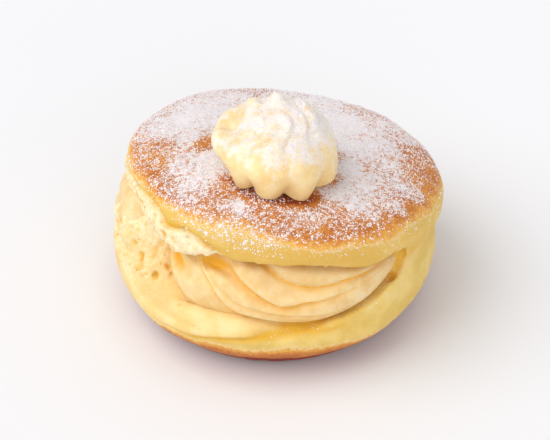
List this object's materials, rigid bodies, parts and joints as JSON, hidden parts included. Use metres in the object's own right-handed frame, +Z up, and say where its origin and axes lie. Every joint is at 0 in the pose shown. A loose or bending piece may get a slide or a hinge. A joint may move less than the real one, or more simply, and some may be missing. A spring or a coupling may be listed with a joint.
{
  "type": "custard doughnut",
  "caption": "Round fried doughnut split at the front, filled with piped custard and topped with a custard rosette, dusted with sugar.",
  "frame": {"origin": "centre of the box of the whole doughnut at the level of its underside, where it rests", "axes": "+Z up, -Y towards the viewer of the picture, the split faces the front left (-Y and -X)"},
  "size_m": [0.0918, 0.0908, 0.0718],
  "materials": {
    "fried_crust": "browned fried dough with a soft yellow side and a dusting of icing sugar",
    "custard": "smooth, slightly moist piped custard"
  },
  "bodies": {
    "root": {"bun": "fried_crust", "custard_filling": "custard", "custard_rosette": "custard"}
  },
  "joints": []
}
